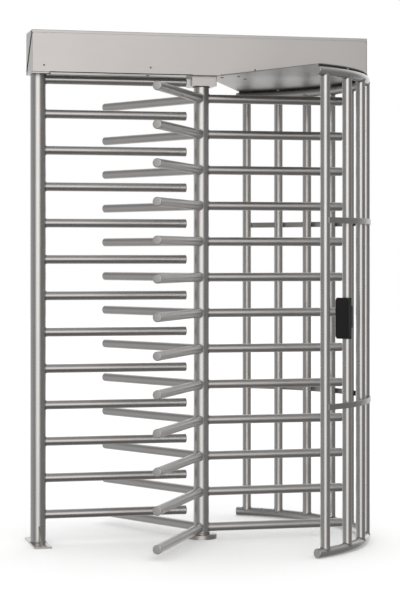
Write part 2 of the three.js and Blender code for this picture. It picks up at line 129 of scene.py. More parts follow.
def makeFinish(look):
    # Fine grain drives roughness, relief and speckle, and broad patches drive colour
    finish = bpy.data.materials.new(look["name"])
    tree = emptyTree(finish)
    places = addNode(tree, "ShaderNodeTexCoord", {})
    follows = look.get("follows", "Object")
    unit = 1 if follows == "UV" else mm  # the UV map is in millimetres, and an object in metres
    grainPlace = addNode(tree, "ShaderNodeMapping", {
        "Scale": [1 / (step * unit) for step in look["grain"]],
    }, {"Vector": places.outputs[follows]})
    grain = addNode(tree, "ShaderNodeTexNoise", {
        "Scale": 1, "Detail": noise["grainDetail"], "Roughness": noise["grainRoughness"],
    }, {"Vector": grainPlace.outputs["Vector"]})
    patch = addNode(tree, "ShaderNodeTexNoise", {
        "Scale": 1 / (look["patch"] * mm), "Detail": noise["patchDetail"],
    }, {"Vector": places.outputs["Object"]})
    colour = addNode(tree, "ShaderNodeMix", {
        "data_type": "RGBA", 6: toLinear(look["dark"]), 7: toLinear(look["light"]),
    }, {0: patch.outputs["Fac"]})
    speckle = addNode(tree, "ShaderNodeMix", {
        "data_type": "RGBA", "blend_type": "MULTIPLY", 0: look["speckle"],
    }, {6: colour.outputs[2], 7: grain.outputs["Fac"]})
    rough = addNode(tree, "ShaderNodeMapRange", {
        "From Min": noise["lowest"], "From Max": noise["highest"],
        "To Min": look["smoothest"], "To Max": look["roughest"],
    }, {"Value": grain.outputs["Fac"]})
    relief = addNode(tree, "ShaderNodeBump", {"Strength": look["relief"], "Distance": look["depth"] * mm},
                     {"Height": grain.outputs["Fac"]})
    shader = addNode(tree, "ShaderNodeBsdfPrincipled", {"Metallic": look["metal"]}, {
        "Base Color": speckle.outputs[2], "Roughness": rough.outputs["Result"],
        "Normal": relief.outputs["Normal"],
    })
    if "ior" in look:
        shader.inputs["IOR"].default_value = look["ior"]
    addNode(tree, "ShaderNodeOutputMaterial", {}, {"Surface": shader.outputs["BSDF"]})
    return finish


# Stainless steel tube, belt ground: fine rings round it, which soften a bright band along it.
# The rings are drawn coarser than real ones, so that they show
tubeSteel = makeFinish({
    "name": "stainlessTubeGround", "follows": "UV", "grain": (60, 3.5, 60),
    "patch": 220, "light": "#D0CECC", "dark": "#C6C4C2", "speckle": 0.04,
    "smoothest": 0.27, "roughest": 0.3, "relief": 0.02, "depth": 0.02, "metal": 1,
})

# Stainless steel tube, glass blasted: an even grey with no mirror streaks, for arms that people push
satinSteel = makeFinish({
    "name": "stainlessTubeBlasted", "follows": "UV", "grain": (2.4, 2.4, 2.4),
    "patch": 180, "light": "#D6D4D2", "dark": "#CBC9C7", "speckle": 0.05,
    "smoothest": 0.33, "roughest": 0.39, "relief": 0.06, "depth": 0.02, "metal": 1,
})

# Stainless steel bar, brushed along: a little duller than the tubes, with lines that run its length
barSteel = makeFinish({
    "name": "stainlessBarBrushed", "follows": "UV", "grain": (1.4, 90, 90),
    "patch": 160, "light": "#C6C3C0", "dark": "#B6B3AF", "speckle": 0.05,
    "smoothest": 0.28, "roughest": 0.38, "relief": 0.08, "depth": 0.03, "metal": 1,
})

# Stainless sheet, brushed along the header: a soft even sheen
sheetSteel = makeFinish({
    "name": "stainlessSheetBrushed", "grain": (140, 1.3, 1.3),
    "patch": 500, "light": "#CFCCCA", "dark": "#C5C2C0", "speckle": 0.05,
    "smoothest": 0.3, "roughest": 0.38, "relief": 0.08, "depth": 0.02, "metal": 1,
})

# Stainless sheet, ground upright: duller than the brushed front, and darker in colour as painted shade on the
# header's ends
groundShadedSteel = makeFinish({
    "name": "stainlessSheetGroundShaded", "grain": (1.3, 1.3, 50),
    "patch": 200, "light": "#B6B5B4", "dark": "#ADACAB", "speckle": 0.05,
    "smoothest": 0.36, "roughest": 0.42, "relief": 0.06, "depth": 0.02, "metal": 1,
})

# Stainless sheet as it comes from the mill: a dull mirror with broad cloudy patches
millSteel = makeFinish({
    "name": "stainlessSheetMill", "grain": (3, 3, 3),
    "patch": 260, "light": "#C6C5C2", "dark": "#B6B4B1", "speckle": 0.04,
    "smoothest": 0.36, "roughest": 0.46, "relief": 0.06, "depth": 0.02, "metal": 1,
})

# Stainless weld, wire brushed: dull and slightly rippled
weldSteel = makeFinish({
    "name": "stainlessWeldBrushed", "grain": (2.5, 2.5, 2.5),
    "patch": 30, "light": "#C2BEB9", "dark": "#ADA9A4", "speckle": 0.12,
    "smoothest": 0.36, "roughest": 0.5, "relief": 0.3, "depth": 0.15, "metal": 1,
})

# Steel, turned or milled: a plain grey sheen, faintly streaked by the tool
machinedSteel = makeFinish({
    "name": "steelMachined", "grain": (40, 0.9, 0.9),
    "patch": 60, "light": "#B4B4B2", "dark": "#A2A2A0", "speckle": 0.06,
    "smoothest": 0.28, "roughest": 0.38, "relief": 0.15, "depth": 0.03, "metal": 1,
})

# Steel, zinc plated and passivated: bluish and slightly cloudy
zincSteel = makeFinish({
    "name": "steelZincPlated", "grain": (6, 6, 6),
    "patch": 40, "light": "#C3C7CB", "dark": "#AEB3B9", "speckle": 0.1,
    "smoothest": 0.34, "roughest": 0.48, "relief": 0.1, "depth": 0.03, "metal": 1,
})

# Steel screw, black oxide: dark, with a faint oily sheen
blackSteel = makeFinish({
    "name": "steelBlackOxide", "grain": (1.2, 1.2, 1.2),
    "patch": 8, "light": "#5C5B59", "dark": "#4A4947", "speckle": 0.12,
    "smoothest": 0.36, "roughest": 0.5, "relief": 0.15, "depth": 0.03, "metal": 0.7,
})

# Bearing bronze, bored: warm and matt
bushBronze = makeFinish({
    "name": "bronzeBored", "grain": (8, 8, 0.8),
    "patch": 20, "light": "#B48B50", "dark": "#9C7742", "speckle": 0.1,
    "smoothest": 0.32, "roughest": 0.44, "relief": 0.15, "depth": 0.03, "metal": 1,
})

# ABS, moulded in a spark-eroded tool: deep black, with a fine even grain that breaks up the sheen
blackAbs = makeFinish({
    "name": "absMouldedBlack", "grain": (0.9, 0.9, 0.9),
    "patch": 60, "light": "#1A1A1B", "dark": "#141415", "speckle": 0.15,
    "smoothest": 0.46, "roughest": 0.6, "relief": 0.35, "depth": 0.06, "metal": 0, "ior": 1.53,
})

# Polycarbonate window, hard coated: black and glossier than the case round it
blackWindow = makeFinish({
    "name": "polycarbonateHardCoated", "grain": (14, 14, 14),
    "patch": 80, "light": "#111112", "dark": "#0C0C0D", "speckle": 0.06,
    "smoothest": 0.32, "roughest": 0.4, "relief": 0.03, "depth": 0.02, "metal": 0, "ior": 1.49,
})

# EPDM rubber, extruded: dark grey and matt, with faint lines along it
blackRubber = makeFinish({
    "name": "epdmExtruded", "grain": (2, 2, 0.8),
    "patch": 40, "light": "#414142", "dark": "#363637", "speckle": 0.1,
    "smoothest": 0.6, "roughest": 0.75, "relief": 0.2, "depth": 0.05, "metal": 0, "ior": 1.5,
})

# Foam, closed cells: black and flat, so that a thin line of it stays dark; strips of it paint the shade lines
# on the header
shadeLineFoam = makeFinish({
    "name": "foamPaintedShadeLine", "grain": (1.4, 1.4, 1.4),
    "patch": 30, "light": "#2E2E2F", "dark": "#262627", "speckle": 0.2,
    "smoothest": 0.85, "roughest": 0.95, "relief": 0.35, "depth": 0.08, "metal": 0, "ior": 1.2,
})

# Glass-filled nylon, moulded: dark grey and matt, with short pale fibres at the surface
darkNylon = makeFinish({
    "name": "nylonGlassFilled", "grain": (1.1, 1.1, 2.6),
    "patch": 50, "light": "#434446", "dark": "#37383A", "speckle": 0.2,
    "smoothest": 0.48, "roughest": 0.62, "relief": 0.3, "depth": 0.06, "metal": 0, "ior": 1.53,
})

# Steel, powder coated: grey with the slight orange peel of the baked coat
greyPaint = makeFinish({
    "name": "steelPowderCoated", "grain": (2.2, 2.2, 2.2),
    "patch": 120, "light": "#93979B", "dark": "#868A8E", "speckle": 0.05,
    "smoothest": 0.4, "roughest": 0.5, "relief": 0.25, "depth": 0.08, "metal": 0, "ior": 1.5,
})

# Indicator lenses, dyed acrylic and unlit: nearly black, with a hint of their colour
redLens = makeFinish({
    "name": "acrylicDyedRed", "grain": (4, 4, 4),
    "patch": 10, "light": "#4A1F1E", "dark": "#391716", "speckle": 0.1,
    "smoothest": 0.1, "roughest": 0.16, "relief": 0.02, "depth": 0.02, "metal": 0, "ior": 1.49,
})
greenLens = makeFinish({
    "name": "acrylicDyedGreen", "grain": (4, 4, 4),
    "patch": 10, "light": "#1D3B28", "dark": "#162D1F", "speckle": 0.1,
    "smoothest": 0.1, "roughest": 0.16, "relief": 0.02, "depth": 0.02, "metal": 0, "ior": 1.49,
})
print("materials made")


# Mesh helpers, all in millimetres

up = Vector((0, 0, 1))
alongX = turned(90, "Y")  # local Z becomes +X
upright = Matrix(((0, 0, 1, 0), (1, 0, 0, 0), (0, 1, 0, 0), (0, 0, 0, 1)))  # a (y, z) section, swept along X
softEdges = {"segments": 3, "angle": 40}


def circle(radius, sides):
    turns = [2 * math.pi * i / sides for i in range(sides)]
    return [(radius * math.cos(turn), radius * math.sin(turn)) for turn in turns]


def arcPoints(centre, radius, start, end, steps):
    # Degrees, both ends included
    x, y = centre
    turns = [math.radians(start + (end - start) * i / steps) for i in range(steps + 1)]
    return [(x + radius * math.cos(turn), y + radius * math.sin(turn)) for turn in turns]


def roundedRectangle(width, height, corner, steps=6):
    x, y = width / 2 - corner, height / 2 - corner
    corners = [((x, y), 0), ((-x, y), 90), ((-x, -y), 180), ((x, -y), 270)]
    return [point for centre, start in corners
            for point in arcPoints(centre, corner, start, start + 90, steps)]


def addSweep(bm, stations, closed=False, capped=False):
    # A station is a place and a section; a section of one point closes an end
    grain = bm.loops.layers.uv.verify()
    rings = []
    for place, section in stations:
        rings.append([bm.verts.new(place @ Vector((*point, 0))) for point in section])
    widest = max((section for place, section in stations), key=len)
    sides = len(widest)
    girth = sum(math.dist(widest[i], widest[i - 1]) for i in range(sides))
    pairs = list(zip(rings, rings[1:]))
    if closed:
        pairs.append((rings[-1], rings[0]))
    run = 0
    for near, far in pairs:
        reach = run + (far[0].co - near[0].co).length
        for i in range(sides):
            corners = {}
            quad = ((near, i, run), (near, i + 1, run), (far, i + 1, reach), (far, i, reach))
            for ring, turn, along in quad:
                corners.setdefault(ring[turn % len(ring)], (turn * girth / sides, along))
            if len(corners) < 3:
                continue
            face = bm.faces.new(list(corners))
            for loop in face.loops:
                loop[grain].uv = corners[loop.vert]
        run = reach
    if capped:
        bm.faces.new(rings[0][::-1])
        bm.faces.new(rings[-1])


def addSlab(bm, loops, bottom, top, place=Matrix()):
    # The outline comes first and then any holes
    grain = bm.loops.layers.uv.verify()
    flat = [Vector((x, y, 0)) for points in loops for x, y in points]
    low = [bm.verts.new(place @ (point + up * bottom)) for point in flat]
    high = [bm.verts.new(place @ (point + up * top)) for point in flat]
    faces = []
    for a, b, c in tessellate_polygon([[Vector((x, y, 0)) for x, y in points] for points in loops]):
        faces.append((bm.faces.new((high[a], high[b], high[c])), [flat[a].xy, flat[b].xy, flat[c].xy]))
        faces.append((bm.faces.new((low[c], low[b], low[a])), [flat[c].xy, flat[b].xy, flat[a].xy]))
    start = 0
    for points in loops:
        run = 0
        for i in range(len(points)):
            j = (i + 1) % len(points)
            reach = run + math.dist(points[i], points[j])
            wall = bm.faces.new((low[start + i], low[start + j], high[start + j], high[start + i]))
            faces.append((wall, [(run, bottom), (reach, bottom), (reach, top), (run, top)]))
            run = reach
        start += len(points)
    for face, corners in faces:
        for loop, corner in zip(face.loops, corners):
            loop[grain].uv = corner


def roundSection(radius, sides):
    return circle(radius, sides) if radius else [(0, 0)]


def addTurned(bm, profile, place, sides, closed=False):
    # A profile of (radius, distance) pairs, turned about the place's own Z axis
    stations = [(place @ moved(z=along), roundSection(radius, sides)) for radius, along in profile]
    addSweep(bm, stations, closed)


def rodProfile(radius, start, end, rim, steps=4):
    # Closed at both ends, with rounded rims
    nose = arcPoints((radius - rim, start + rim), rim, -90, 0, steps)
    tail = arcPoints((radius - rim, end - rim), rim, 0, 90, steps)
    return [(0, start), *nose, *tail, (0, end)]


def tubeProfile(inner, outer, start, end, rim):
    # An open tube, as a loop round its wall
    return [(inner, start), (outer - rim, start), (outer, start + rim),
            (outer, end - rim), (outer - rim, end), (inner, end)]


def onArc(radius, height, turn):
    # Local Z runs along the arc, and local X away from the axis
    return turned(turn) @ moved(radius, 0, height) @ turned(-90, "X")


def arcStations(radius, height, spread, steps, section):
    # From minus the spread to plus the spread, in degrees
    return [(onArc(radius, height, spread * (2 * i / steps - 1)), section) for i in range(steps + 1)]


def addBead(bm, points, outward, radius, sides=6):
    # A closed bead of weld; outward keeps its section from twisting
    stations = []
    for i, point in enumerate(points):
        ahead = (points[(i + 1) % len(points)] - points[i - 1]).normalized()
        side = ahead.cross(outward).normalized()
        over = side.cross(ahead)
        place = Matrix.Translation(point) @ Matrix((side, over, ahead)).transposed().to_4x4()
        stations.append((place, circle(radius, sides)))
    addSweep(bm, stations, closed=True)


def teeJoint(branch, trunk, steps=40):
    # Where a tube along X leaves a vertical one that stands on the Z axis
    return [Vector((math.sqrt(trunk * trunk - y * y), y, z)) for y, z in circle(branch, steps)]


def makeMesh(name, bm, finish, sharpAngle=38):
    bmesh.ops.recalc_face_normals(bm, faces=bm.faces)
    mesh = bpy.data.meshes.new(name)
    bm.to_mesh(mesh)
    bm.free()
    mesh.transform(Matrix.Scale(mm, 4))
    mesh.shade_smooth()
    mesh.set_sharp_from_angle(angle=math.radians(sharpAngle))
    mesh.materials.append(finish)
    return mesh


def placePiece(name, mesh, nodes=(), body="frame", soften=0, height=0):
    piece = addObject(name, mesh)
    piece.location.z = height * mm
    if soften:
        edges = piece.modifiers.new("softEdges", "BEVEL")
        edges.width = soften * mm
        edges.segments = softEdges["segments"]
        edges.limit_method = "ANGLE"
        edges.angle_limit = math.radians(softEdges["angle"])
    shading = piece.modifiers.new("evenShading", "WEIGHTED_NORMAL")  # keeps long walls flat up to their rims
    shading.keep_sharp = True
    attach(piece, body)
    if nodes:
        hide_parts(*nodes)


def makePiece(name, bm, finish, nodes=(), body="frame", soften=0, sharpAngle=38):
    placePiece(name, makeMesh(name, bm, finish, sharpAngle), nodes, body, soften)


def makeStack(name, bm, finish, tier, count, body="frame", standsFor=False):
    # One mesh, at the height of each numbered node of the tier
    mesh = makeMesh(numbered(name, 0), bm, finish)
    for index in range(count):
        node = numbered(tier, index)
        nodes = [node] if standsFor else ()
        placePiece(numbered(name, index), mesh, nodes, body, height=middleOf(node).z)


# Left post and barrier

leftPost = {
    "radius": 35, "wall": 3, "rim": 1, "sides": 64, "soften": 0.5,
    "pad": 4, "padCorner": 6, "weld": 2.6, "weldOut": 0.8,
}
saddle = {"thickness": 5.5, "width": 77, "inset": 0.5, "corner": 2, "soften": 0.6}
foot = {
    "corner": 5, "thickness": 8, "soften": 0.8,
    "holeRadius": 7, "holeInset": 22, "holeSides": 28,
    "ribThickness": 6, "ribTop": 82, "ribTip": 142, "ribNose": 5,
    "weld": 2.4, "weldOut": 0.4, "weldRoot": 6,
}
barrier = {
    "count": 13, "radius": 20, "sides": 48, "weld": 2.2, "weldOut": 0.6,
    "root": 14,  # from the post's axis, out of sight in the post
    "capLength": 35, "capRim": 3, "seam": 0.5, "seamGap": 0.1,
    "grooves": (9, 14, 19), "grooveDepth": 0.35,
    "spigotLength": 3, "spigotInset": 1,
}


def makeLeftPost():
    low, high = boxOf("left_post")
    centre = middleOf("left_foot_plate").x
    radius, sides = leftPost["radius"], leftPost["sides"]
    padBottom = high.z - leftPost["pad"]
    bm = bmesh.new()
    profile = tubeProfile(radius - leftPost["wall"], radius, low.z, padBottom, leftPost["rim"])
    addTurned(bm, profile, moved(centre), sides, closed=True)
    pad = roundedRectangle(high.x - low.x, high.y - low.y, leftPost["padCorner"])
    addSlab(bm, [pad], padBottom, high.z, moved((low.x + high.x) / 2))
    makePiece("left_post_tube", bm, tubeSteel, ["left_post"], soften=leftPost["soften"])
    bm = bmesh.new()
    for height in (low.z, padBottom):
        ring = [Vector((x + centre, y, height)) for x, y in circle(radius + leftPost["weldOut"], sides)]
        addBead(bm, ring, up, leftPost["weld"])
    makePiece("left_post_welds", bm, weldSteel)


def makeSaddle():
    # Round the post's head pad, under the header and nearly flush with its front
    high = boxOf("left_post")[1]
    headerLow = boxOf("header_pan")[0]
    inset = saddle["inset"]
    left, right = headerLow.x + inset, headerLow.x + saddle["width"]
    front, rear = headerLow.y + inset / 2, high.y + inset
    outline = roundedRectangle(right - left, rear - front, saddle["corner"])
    bm = bmesh.new()
    addSlab(bm, [outline], high.z - saddle["thickness"], high.z - inset / 2,
            moved((left + right) / 2, (front + rear) / 2))
    makePiece("left_post_saddle", bm, sheetSteel, soften=saddle["soften"])


def makeFoot():
    low, high = boxOf("left_foot_plate")
    centre = (low.x + high.x) / 2
    width, length = high.x - low.x, high.y - low.y
    bm = bmesh.new()
    plate = roundedRectangle(width, length, foot["corner"])
    x, y = width / 2 - foot["holeInset"], length / 2 - foot["holeInset"]
    holes = [[(px + sx * x, py + sy * y) for px, py in circle(foot["holeRadius"], foot["holeSides"])]
             for sx in (-1, 1) for sy in (-1, 1)]
    level = foot["thickness"]
    addSlab(bm, [plate, *holes], 0, level, moved(centre))
    root, tip, half = leftPost["radius"], foot["ribTip"], foot["ribThickness"] / 2
    rib = [(root, level), (tip, level), (tip, level + foot["ribNose"]), (root, foot["ribTop"])]
    for turn in (0, 180):
        addSlab(bm, [rib], -half, half, moved(centre) @ turned(turn) @ upright)
    makePiece("left_foot", bm, barSteel, ["left_foot_plate"], soften=foot["soften"])
    bm = bmesh.new()
    across, start, end = half + foot["weldOut"], root - foot["weldRoot"], tip + foot["weldOut"]
    for side in (-1, 1):
        loop = [(across, side * start), (across, side * end), (-across, side * end), (-across, side * start)]
        addBead(bm, [Vector((centre + x, y, level)) for x, y in loop], up, foot["weld"])
    makePiece("left_foot_welds", bm, weldSteel)


def makeBarrier():
    post = middleOf("left_foot_plate").x
    length = boxOf("barrier_arm_01")[1].x - post
    radius, seam, count = barrier["radius"], barrier["seam"], barrier["count"]
    cap = length - barrier["capLength"]
    place = moved(post) @ alongX
    bm = bmesh.new()
    addTurned(bm, rodProfile(radius, barrier["root"], cap, seam), place, barrier["sides"])
    makeStack("barrier_tube", bm, tubeSteel, "barrier_arm", count, standsFor=True)
    # A cap with a spigot in the tube, an open seam and three shallow grooves
    back, face = cap - barrier["spigotLength"], cap + barrier["seamGap"]
    inner, groove = radius - barrier["spigotInset"], radius - barrier["grooveDepth"]
    profile = [(0, back), (inner, back), (inner, face), (radius - seam, face), (radius, face + seam)]
    for along in barrier["grooves"]:
        middle = cap + along
        profile += [(radius, middle - seam), (groove, middle), (radius, middle + seam)]
    end = rodProfile(radius, cap, length, barrier["capRim"])
    bm = bmesh.new()
    addTurned(bm, profile + end[len(end) // 2:], place, barrier["sides"])
    makeStack("barrier_cap", bm, satinSteel, "barrier_arm", count)
    bm = bmesh.new()
    joint = teeJoint(radius + barrier["weldOut"], leftPost["radius"] + barrier["weldOut"])
    addBead(bm, [point + Vector((post, 0, 0)) for point in joint], Vector((1, 0, 0)), barrier["weld"])
    makeStack("barrier_weld", bm, weldSteel, "barrier_arm", count)


makeCamera()
makeLeftPost()
makeSaddle()
makeFoot()
makeBarrier()
print("left post and barrier made")


# Rotor

rotor = {
    "columnRadius": 35, "columnWall": 3, "columnRim": 1, "columnSides": 72,
    "tiers": 13, "wingTurns": (0, 120, 240),
    "armRadius": 20, "armRim": 3.5, "armSides": 48,
    "armRoot": 24,  # from the axis, out of sight in the column
    "weld": 2.4, "weldOut": 0.6,
}
flange = {
    "radius": 71, "thickness": 20, "chamfer": 1.6, "sides": 96,
    "collar": 39, "collarHeight": 5.7, "pin": 12,
}
housing = {
    "corner": 3, "cornerSteps": 4, "bore": 36.2, "boreSides": 72, "soften": 1,
    "sealInner": 35.7, "sealOuter": 40, "sealRim": 0.8, "sealDrop": 2.2, "sealLap": 0.2,
}


def makeColumn():
    low, high = boxOf("rotor_column")
    radius = rotor["columnRadius"]
    bm = bmesh.new()
    profile = tubeProfile(radius - rotor["columnWall"], radius, low.z, high.z, rotor["columnRim"])
    addTurned(bm, profile, Matrix(), rotor["columnSides"], closed=True)
    makePiece("rotor_column_tube", bm, tubeSteel, ["rotor_column"], "rotor")


def makeWings():
    reach = boxOf("rotor_arms_01")[1].x
    profile = rodProfile(rotor["armRadius"], rotor["armRoot"], reach, rotor["armRim"])
    joint = teeJoint(rotor["armRadius"] + rotor["weldOut"], rotor["columnRadius"] + rotor["weldOut"])
    arms, welds = bmesh.new(), bmesh.new()
    for turn in rotor["wingTurns"]:
        about = turned(turn)
        addTurned(arms, profile, about @ alongX, rotor["armSides"])
        addBead(welds, [about @ point for point in joint], about @ Vector((1, 0, 0)), rotor["weld"])
    makeStack("rotor_wing", arms, satinSteel, "rotor_arms", rotor["tiers"], "rotor", True)
    makeStack("rotor_weld", welds, weldSteel, "rotor_arms", rotor["tiers"], "rotor")


def makeFlange():
    level, edge, radius = flange["thickness"], flange["chamfer"], flange["radius"]
    collar, pin = flange["collar"], flange["pin"]
    top, pinTop = level + flange["collarHeight"], boxOf("floor_flange")[1].z
    profile = [(0, 0), (radius, 0), (radius, level - edge), (radius - edge, level),
               (collar, level), (collar, top - edge / 2), (collar - edge / 2, top),
               (pin, top), (pin, pinTop), (0, pinTop)]
    bm = bmesh.new()
    addTurned(bm, profile, Matrix(), flange["sides"])
    makePiece("floor_flange_turned", bm, barSteel, ["floor_flange"], sharpAngle=30)


def makeHousing():
    low, high = boxOf("bearing_housing")
    bm = bmesh.new()
    outline = roundedRectangle(high.x - low.x, high.y - low.y, housing["corner"], housing["cornerSteps"])
    addSlab(bm, [outline, circle(housing["bore"], housing["boreSides"])], low.z, high.z)
    makePiece("bearing_block", bm, sheetSteel, ["bearing_housing"], soften=housing["soften"])
    bm = bmesh.new()
    profile = tubeProfile(housing["sealInner"], housing["sealOuter"], low.z - housing["sealDrop"],
                          low.z + housing["sealLap"], housing["sealRim"])
    addTurned(bm, profile, Matrix(), housing["boreSides"], closed=True)
    makePiece("bearing_seal", bm, blackRubber)


makeColumn()
makeWings()
makeFlange()
makeHousing()
print("rotor made")


# Cage

cage = {
    "circle": 744, "tube": 21, "postSides": 48, "postRim": 1, "postCount": 10, "postPitch": 13,
    "ringSides": 40, "ringSteps": 96, "ringEnd": 52, "ringRim": 2.5,
    "weld": 1.7, "weldOut": 0.4, "weldRound": 0.3,  # the last keeps the bead smooth where it is lowest
    "stud": 8, "studRim": 0.5, "studSides": 24, "studPosts": (1, 3, 6, 8),
}
band = {"sink": 0.4, "thickness": 5, "height": 25, "corner": 1.2, "cornerSteps": 3, "steps": 90}
anchor = {
    "turns": (52, -13), "tilt": 35, "sides": 24,  # screws in the bottom ring, on its inner side
    "head": 6.5, "rim": 5.2, "socket": 2.925, "socketFoot": 2.6,  # radii
    "sink": 3, "dome": 1.6, "floor": 0.2,
}
cageSpread = cage["postPitch"] * (cage["postCount"] - 1) / 2  # degrees to either side


def postTurn(index):
    return cage["postPitch"] * ((cage["postCount"] - 1) / 2 - index)


def onCage(turn, height=0):
    return turned(turn) @ moved(cage["circle"], 0, height)


def makeCagePosts():
    bottom = middleOf("cage_ring_bottom").z
    top = boxOf("cage_ring_top")[0].z + cage["tube"]
    profile = rodProfile(cage["tube"], bottom, top, cage["postRim"])
    radius = cage["tube"] + cage["weldOut"]
    for index in range(cage["postCount"]):
        about = onCage(postTurn(index))
        bm = bmesh.new()
        addTurned(bm, profile, about, cage["postSides"])
        node = numbered("cage_post", index)
        makePiece(numbered("cage_tube", index), bm, tubeSteel, [node])
        bm = bmesh.new()
        for height, side in ((bottom, 1), (top, -1)):
            points = []
            for x, y in circle(radius, cage["postSides"]):
                rise = math.sqrt(y * y + (radius * cage["weldRound"]) ** 2)
                points.append(about @ Vector((x, y, height + side * rise)))
            addBead(bm, points, up, cage["weld"])
        makePiece(numbered("cage_weld", index), bm, weldSteel)


def ringStations(height):
    reach = math.radians(cageSpread) * cage["circle"] + cage["ringEnd"]
    ends = rodProfile(cage["tube"], -reach, reach, cage["ringRim"])
    half = len(ends) // 2
    near, far = ends[half - 1][1], ends[half][1]
    steps = cage["ringSteps"]
    between = [(cage["tube"], near + (far - near) * i / steps) for i in range(1, steps)]
    profile = ends[:half] + between + ends[half:]
    return [(onArc(cage["circle"], height, math.degrees(along / cage["circle"])),
             roundSection(radius, cage["ringSides"])) for radius, along in profile]


def makeRings():
    bm = bmesh.new()
    addSweep(bm, ringStations(middleOf("cage_ring_bottom").z))
    makePiece("cage_ring_low", bm, tubeSteel, ["cage_ring_bottom"])
    low, high = boxOf("cage_ring_top")
    middle = low.z + cage["tube"]
    bm = bmesh.new()
    addSweep(bm, ringStations(middle))
    for index in cage["studPosts"]:
        profile = rodProfile(cage["stud"], middle, high.z, cage["studRim"])
        addTurned(bm, profile, onCage(postTurn(index)), cage["studSides"])
    makePiece("cage_ring_high", bm, tubeSteel, ["cage_ring_top"])


def makeAnchors():
    head, socket, foot = anchor["head"], anchor["socket"], anchor["socketFoot"]
    surface = cage["tube"]
    bottom, top, floor = surface - anchor["sink"], surface + anchor["dome"], surface + anchor["floor"]
    profile = [(0, bottom), (head, bottom), (head, surface), (anchor["rim"], top),
               (socket, top), (foot, floor), (0, floor)]
    bm = bmesh.new()
    for turn in anchor["turns"]:
        addTurned(bm, profile, onCage(turn, cage["tube"]) @ turned(-anchor["tilt"], "Y"), anchor["sides"])
    makePiece("ring_anchor_screws", bm, zincSteel, sharpAngle=30)


def makeBand(name, node):
    radius = cage["circle"] + cage["tube"] - band["sink"] + band["thickness"] / 2
    section = roundedRectangle(band["thickness"], band["height"], band["corner"], band["cornerSteps"])
    bm = bmesh.new()
    addSweep(bm, arcStations(radius, middleOf(node).z, cageSpread, band["steps"], section), capped=True)
    makePiece(name, bm, barSteel, [node], sharpAngle=50)


makeCagePosts()
makeRings()
makeAnchors()
makeBand("cage_bar_upper", "cage_band_upper")
makeBand("cage_bar_lower", "cage_band_lower")
print("cage made")


# Ceiling plate and header

ceiling = {"innerX": 57.8, "innerY": 60, "cornerTurn": 61.8, "radius": 755, "arcSteps": 80, "soften": 0.8}
shadeGasket = {  # dark rubber strip on the top ring, under the ceiling plate, which paints the shade line between them
    "width": 9, "corner": 0.8, "cornerSteps": 2, "sink": 0.3, "spread": 61.5, "steps": 90,
}
header = {
    "sheet": 3, "bend": 3.4, "bendSteps": 5, "lip": 12, "hemSteps": 6,
    "slotLeft": 69, "slotTop": 4.6,  # where the ceiling plate passes through the sheets
    "columnHole": 41, "holeSides": 48,
    "endInset": 0.6, "endSink": 0.05,
    "shadeBand": 28, "shadeBandSink": 1, "shadeBandThickness": 2, "shadeBandSoften": 0.4,  # black foam band across each end, a painted shade line
}
edgeShadeLine = {  # black foam along the front's lower edge, from the saddle to the bearing block: a painted shade line
    "height": 3.8, "around": 0.6, "corner": 0.8, "cornerSteps": 3, "drop": 1, "gap": 1, "right": -61,
}
screw = {"sides": 24, "domeTurn": (45, 70), "domeSteps": 4, "socketTaper": 0.9, "socketFloor": 0.3}
frontScrews = {"across": (-738, -255, 231, 715), "above": 30, "head": 4, "dome": 1.8, "socket": 1.6}
undersideBolts = {
    "pan": ((-246, 22), (-165, -78)), "ceiling": ((95, -13), (158, -70), (217, 35)),
    "head": 8.5, "dome": 2.16, "socket": 2.6,
}


def makeCeiling():
    low, high = boxOf("ceiling_plate")
    x, y, corner = ceiling["innerX"], ceiling["innerY"], ceiling["cornerTurn"]
    arc = arcPoints((0, 0), ceiling["radius"], -corner, corner, ceiling["arcSteps"])
    bm = bmesh.new()
    addSlab(bm, [[(x, -y), *arc, (x, y)]], low.z, high.z)
    makePiece("ceiling_sheet", bm, millSteel, ["ceiling_plate"], soften=ceiling["soften"])


def makeShadeGasket():
    bottom = boxOf("cage_ring_top")[0].z + 2 * cage["tube"] - shadeGasket["sink"]
    top = boxOf("ceiling_plate")[0].z
    section = roundedRectangle(shadeGasket["width"], top - bottom, shadeGasket["corner"], shadeGasket["cornerSteps"])
    stations = arcStations(cage["circle"], (bottom + top) / 2, shadeGasket["spread"], shadeGasket["steps"], section)
    # The dark strip paints the shade line between the ring and the plate
    bm = bmesh.new()
    addSweep(bm, stations, capped=True)
    makePiece("ring_shade_gasket", bm, blackRubber, sharpAngle=50)


def foldedSheet(path, thickness, bend, steps):
    # A closed section round a sheet that is folded to the right at each corner of the path
    outer, inner = [Vector(path[0])], []
    count = len(path)
    side = [(Vector(path[i + 1]) - Vector(path[i])).normalized() for i in range(count - 1)]
    right = [Vector((run.y, -run.x)) for run in side]
    inner.append(outer[0] + right[0] * thickness)
    for i in range(1, count - 1):
        centre = Vector(path[i]) - side[i - 1] * bend + right[i - 1] * bend
        start = math.degrees(math.atan2(-right[i - 1].y, -right[i - 1].x))
        outer += [Vector(p) for p in arcPoints(centre, bend, start, start - 90, steps)]
        inner += [Vector(p) for p in arcPoints(centre, bend - thickness, start, start - 90, steps)]
    outer.append(Vector(path[-1]))
    inner.append(outer[-1] + right[-1] * thickness)
    return [tuple(point) for point in outer + inner[::-1]]


def addHeaderSheet(bm, low, high, sections):
    # The second section begins where the ceiling plate passes through
    slot = header["slotLeft"]
    spots = ((low.x, sections[0]), (slot, sections[0]), (slot, sections[1]), (high.x, sections[1]))
    addSweep(bm, [(moved(x) @ upright, section) for x, section in spots], capped=True)


def makeLid():
    low, high = boxOf("header_lid")
    sections = []
    for bottom in (low.z, low.z + header["slotTop"]):
        path = [(low.y, high.z - header["lip"]), (low.y, high.z), (high.y, high.z), (high.y, bottom)]
        sections.append(foldedSheet(path, header["sheet"], header["bend"], header["bendSteps"]))
    bm = bmesh.new()
    addHeaderSheet(bm, low, high, sections)
    makePiece("header_cover", bm, sheetSteel, ["header_lid"], sharpAngle=30)


